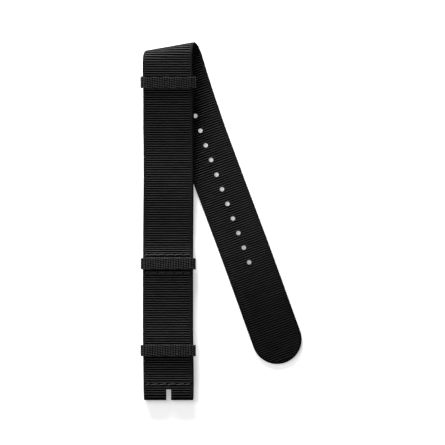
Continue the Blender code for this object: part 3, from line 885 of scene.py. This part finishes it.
def make_threads():
    """The needle thread and the bobbin thread of each seam."""
    rows = {
        seam: (y, shift, front_face(y), -HALF_THICKNESS, THREAD_PROUD)
        for seam, (y, shift) in LEG_SEAMS.items()
    }
    rows["hem_seam"] = (HEM_SEAM_PLACE, HEM_SEAM_SHIFT, HALF_THICKNESS, -LAYER_STEP - HALF_THICKNESS, 0.0)
    threads = {}
    for seam, (y, shift, top, bottom, proud) in rows.items():
        meeting = (top + bottom) / 2
        slant = BUCKLE_SEAM_SLANT if seam == "buckle_seam" else STITCH_SLANT
        for thread, face, lift in (("needle", top, proud), ("bobbin", bottom, 0.0)):
            made = make_thread(seam + "_plied_" + thread, y, shift, face, meeting, lift, slant)
            threads[seam + "_" + thread + "_thread"] = made
    return threads


class Shader:
    """A material's node tree, with short calls for the nodes that the cloths use."""

    def __init__(self, name):
        self.material = bpy.data.materials.new(name)
        self.material.use_nodes = True
        self.tree = self.material.node_tree
        self.surface = self.tree.nodes["Principled BSDF"]

    def node(self, kind, **settings):
        made = self.tree.nodes.new(kind)
        for key, value in settings.items():
            setattr(made, key, value)
        return made

    def feed(self, socket, value):
        if isinstance(value, bpy.types.NodeSocket):
            self.tree.links.new(value, socket)
        else:
            socket.default_value = value

    def math(self, operation, first, second=0.0):
        made = self.node("ShaderNodeMath", operation=operation)
        for socket, value in zip(made.inputs, (first, second)):
            self.feed(socket, value)
        return made.outputs[0]

    def cloth(self):
        """Across, run and weight of the cloth, in millimetres."""
        source = self.node("ShaderNodeAttribute", attribute_name="cloth", attribute_type="GEOMETRY")
        split = self.node("ShaderNodeSeparateXYZ")
        self.feed(split.inputs[0], source.outputs["Vector"])
        return source.outputs["Vector"], split.outputs[0], split.outputs[1], split.outputs[2]

    def noise(self, vector, waves, detail=NOISE_DETAIL):
        mapping = self.node("ShaderNodeMapping")
        self.feed(mapping.inputs["Vector"], vector)
        mapping.inputs["Scale"].default_value = waves
        made = self.node("ShaderNodeTexNoise")
        self.feed(made.inputs["Vector"], mapping.outputs[0])
        made.inputs["Scale"].default_value = 1.0
        made.inputs["Detail"].default_value = detail
        return made.outputs["Fac"]

    def mix(self, factor, dark, light):
        made = self.node("ShaderNodeMix", data_type="RGBA")
        self.feed(made.inputs[0], factor)
        self.feed(made.inputs[6], grey(dark))
        self.feed(made.inputs[7], grey(light))
        return made.outputs[2]

    def spread(self, value, low, high, to_low, to_high):
        made = self.node("ShaderNodeMapRange")
        for socket, number in zip(made.inputs, (value, low, high, to_low, to_high)):
            self.feed(socket, number)
        return made.outputs[0]

    def follow_noise(self, noise, tones):
        """A value that goes from the first tone to the second as the noise rises."""
        return self.spread(noise, *NOISE_RANGE, *tones)

    def bump(self, height, distance):
        made = self.node("ShaderNodeBump")
        self.feed(made.inputs["Height"], height)
        made.inputs["Distance"].default_value = distance
        made.inputs["Strength"].default_value = 1.0
        self.feed(self.surface.inputs["Normal"], made.outputs[0])

    def finish(self, roughness, specular):
        self.feed(self.surface.inputs["Roughness"], roughness)
        self.surface.inputs["Specular IOR Level"].default_value = specular
        return self.material


def grey(value):
    return (value, value, value, 1.0)


def webbing_material(name, painted_shade_first, painted_shade_last):
    """Ribbed nylon: cords across the band, each wrapped in warp yarns that run along it."""
    shader = Shader(name)
    vector, across, run, weight = shader.cloth()
    wander = shader.noise(vector, WANDER_WAVES)
    place = shader.math("ADD", shader.math("MULTIPLY", run, MM / RIB_PITCH), RIB_PHASE)
    beside = shader.math("PINGPONG", place, 0.5)
    # painted shade along the tail, which narrows the crest highlights towards the tip
    painted_tail_shade = shader.spread(run, painted_shade_first / MM, painted_shade_last / MM, 0.0, PAINTED_TAIL_SHADE_NARROWING)
    beside = shader.math("ADD", beside, painted_tail_shade)
    # painted highlight on each rib crest and painted shade in the valleys and between the warp yarns
    painted_crest_highlight = shader.spread(beside, CREST_SHARE, VALLEY_SHARE, 1.0, 0.0)
    yarn_place = shader.math("ADD", across, shader.math("MULTIPLY", wander, YARN_WANDER))
    turn = shader.math("MULTIPLY", yarn_place, math.pi / YARN_PITCH)
    yarn = shader.math("ABSOLUTE", shader.math("SINE", turn))
    fibre = shader.noise(vector, WEBBING_FIBRES, FINE_DETAIL)
    streak = shader.noise(vector, STREAK_WAVES, FINE_DETAIL)
    tone = shader.math("MULTIPLY", painted_crest_highlight, shader.follow_noise(streak, STREAK_TONES))
    tone = shader.math("MULTIPLY", tone, shader.spread(yarn, 0.0, YARN_CROWN, *YARN_GAP_PAINTED_SHADE_TONES))
    ribbed = shader.spread(weight, SELVEDGE_RIBS, RIBBED_WEIGHT, 0.0, 1.0)
    # the plain selvedges, with painted shade between their yarns
    plain = shader.spread(yarn, 0.0, SELVEDGE_YARN_CROWN, SELVEDGE_TONE / 2, SELVEDGE_TONE)
    # the same painted shade darkens the tail's plain selvedges
    painted_selvedge_shade = shader.spread(painted_tail_shade, 0.0, PAINTED_TAIL_SHADE_NARROWING, 1.0, PAINTED_TAIL_SHADE_SELVEDGE)
    plain = shader.math("MULTIPLY", plain, painted_selvedge_shade)
    tone = shader.math("MULTIPLY", tone, ribbed)
    tone = shader.math("ADD", tone, shader.math("MULTIPLY", plain, shader.math("SUBTRACT", 1.0, ribbed)))
    shader.feed(shader.surface.inputs["Base Color"], shader.mix(tone, VALLEY_PAINTED_SHADE_GREY, CREST_PAINTED_HIGHLIGHT_GREY))
    fibre_height = shader.math("MULTIPLY", fibre, FIBRE_HEIGHT)
    height = shader.math("ADD", shader.math("MULTIPLY", yarn, YARN_HEIGHT), fibre_height)
    shader.bump(shader.math("MULTIPLY", height, weight), WEBBING_BUMP)
    return shader.finish(shader.follow_noise(fibre, WEBBING_ROUGHNESS), WEBBING_GLOSS)


def tape_material():
    """Twill tape of matt nylon yarn."""
    shader = Shader("twill_tape")
    vector, *_, weight = shader.cloth()
    fibre = shader.noise(vector, TAPE_FIBRES, FINE_DETAIL)
    patch = shader.noise(vector, TAPE_PATCHES)
    # painted light on the tape: pale float crowns, with painted shade round them
    crown = shader.math("POWER", weight, TAPE_CROWN_POWER)
    tone = shader.math("MULTIPLY", crown, shader.follow_noise(patch, TAPE_PATCH_TONES))
    tone = shader.math("MULTIPLY", tone, shader.follow_noise(fibre, TAPE_FIBRE_TONES))
    shader.feed(shader.surface.inputs["Base Color"], shader.mix(tone, TAPE_PAINTED_SHADE_GREY, TAPE_PAINTED_HIGHLIGHT_GREY))
    shader.bump(fibre, TAPE_BUMP)
    return shader.finish(shader.follow_noise(fibre, TAPE_ROUGHNESS), TAPE_GLOSS)


def thread_material():
    """Bonded sewing thread, with painted shade where its plies meet."""
    shader = Shader("plied_thread")
    vector, *_, weight = shader.cloth()
    fibre = shader.noise(vector, THREAD_FIBRES)
    tone = shader.math("MULTIPLY", weight, shader.follow_noise(fibre, THREAD_TONES))
    shader.feed(shader.surface.inputs["Base Color"], shader.mix(tone, THREAD_PAINTED_SHADE_GREY, THREAD_GREY))
    shader.bump(fibre, THREAD_BUMP)
    return shader.finish(shader.follow_noise(fibre, THREAD_ROUGHNESS), THREAD_GLOSS)


def make_floor():
    """A pale floor that keeps the strap's shadow, and is white to the camera farther off."""
    bpy.ops.mesh.primitive_plane_add(size=FLOOR_SIZE, location=(0, 0, -FLOOR_DROP))
    floor = bpy.context.active_object
    floor.name = "floor"
    shader = Shader("pale_floor")
    shader.feed(shader.surface.inputs["Base Color"], grey(FLOOR_GREY))
    path = shader.node("ShaderNodeLightPath")
    seen = shader.math("MAXIMUM", path.outputs["Is Camera Ray"], path.outputs["Is Glossy Ray"])
    seen = shader.math("MAXIMUM", seen, path.outputs["Is Transmission Ray"])
    place = shader.node("ShaderNodeTexCoord")
    distance = shader.node("ShaderNodeVectorMath", operation="LENGTH")
    shader.feed(distance.inputs[0], place.outputs["Object"])
    glow = shader.spread(distance.outputs["Value"], FLOOR_NEAR, FLOOR_FAR, FLOOR_GLOW, 1.0)
    shader.feed(shader.surface.inputs["Emission Color"], grey(1.0))
    shader.feed(shader.surface.inputs["Emission Strength"], shader.math("MULTIPLY", seen, glow))
    floor.data.materials.append(shader.finish(FLOOR_ROUGHNESS, FLOOR_GLOSS))


def make_world():
    """A soft surround: white along the horizon and below it, and dim above."""
    world = bpy.data.worlds.new("studio")
    bpy.context.scene.world = world
    world.use_nodes = True
    tree = world.node_tree
    place = tree.nodes.new("ShaderNodeTexCoord")
    split = tree.nodes.new("ShaderNodeSeparateXYZ")
    tree.links.new(place.outputs["Generated"], split.inputs[0])
    shade = tree.nodes.new("ShaderNodeValToRGB")
    tree.links.new(split.outputs["Z"], shade.inputs["Fac"])
    stops = shade.color_ramp.elements
    stops[0].position, stops[0].color = WORLD_HORIZON_TOP, grey(1.0)
    stops[1].position, stops[1].color = 1.0, grey(WORLD_OVERHEAD)
    stops.new(WORLD_LOW_TOP).color = grey(WORLD_LOW)
    tree.links.new(shade.outputs["Color"], tree.nodes["Background"].inputs["Color"])


def add_softbox(name, place, size, power):
    """A square area lamp that looks at the strap."""
    lamp = bpy.data.lights.new(name, "AREA")
    lamp.shape = "SQUARE"
    lamp.size = size
    lamp.energy = power
    holder = bpy.data.objects.new(name, lamp)
    holder.location = place
    holder.rotation_euler = (-Vector(place)).to_track_quat("-Z", "Y").to_euler()
    bpy.context.scene.collection.objects.link(holder)


def make_camera():
    """Straight down, with the photograph's frame."""
    middle = PHOTO_SIZE / 2
    x = (middle - LEG_MIDDLE_PX) * PHOTO_SCALE + ORIGIN[0]
    y = (BUCKLE_END_PX - middle) * PHOTO_SCALE + ORIGIN[1]
    data = bpy.data.cameras.new("camera")
    data.sensor_width = SENSOR
    data.lens = SENSOR * CAMERA_HEIGHT / (PHOTO_SIZE * PHOTO_SCALE)
    data.clip_end = CAMERA_REACH
    camera = bpy.data.objects.new("camera", data)
    camera.location = (x, y, CAMERA_HEIGHT)
    bpy.context.scene.collection.objects.link(camera)
    bpy.context.scene.camera = camera


def dress(piece, node, finish, body="strap"):
    """Give a piece its finish, hide the solid that it shows, and say which body carries it."""
    piece.data.materials.append(finish)
    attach(piece, body)
    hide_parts(node)


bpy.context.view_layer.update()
ORIGIN = place_of_frame()
LONG = Strip(long_path())
UNDER = Strip(under_path())
TAIL_START = LONG.length() - TAIL_LENGTH

give_wander()
make_camera()
make_floor()
make_world()
add_softbox("key_light", Vector(KEY_DIRECTION).normalized() * KEY_DISTANCE, KEY_SIZE, KEY_POWER)
add_softbox("back_light", Vector(BACK_DIRECTION).normalized() * BACK_DISTANCE, BACK_SIZE, BACK_POWER)

# only the tail gets painted shade along it, so the under band's would begin past its end
long_finish = webbing_material("ribbed_webbing", TAIL_START + PAINTED_TAIL_SHADE_FIRST, TAIL_START + PAINTED_TAIL_SHADE_LAST)
under_finish = webbing_material("under_webbing", UNDER.length(), 2 * UNDER.length())
tape_finish = tape_material()
thread_finish = thread_material()

long_band = make_long_band()
under_band = make_under_band()
upper = make_keeper("twill_upper_keeper", UPPER_KEEPER_PLACE, -RUN_OFFSET, LAYER_STEP + RUN_OFFSET)
middle = make_keeper(
    "twill_middle_keeper", MIDDLE_KEEPER_PLACE, RUN_OFFSET, keeper_front(MIDDLE_KEEPER_PLACE),
)
lower = make_keeper("twill_lower_keeper", LOWER_KEEPER_PLACE, RUN_OFFSET, keeper_front(FLAP_REACH))

dress(long_band, "long_band", long_finish)
dress(under_band, "under_band", under_finish)
dress(upper, "upper_keeper", tape_finish)
dress(middle, "middle_keeper", tape_finish)
dress(lower, "lower_keeper", tape_finish, body="lower_keeper")
for node, thread in make_threads().items():
    dress(thread, node, thread_finish)

scene = bpy.context.scene
scene.view_settings.view_transform = "Standard"
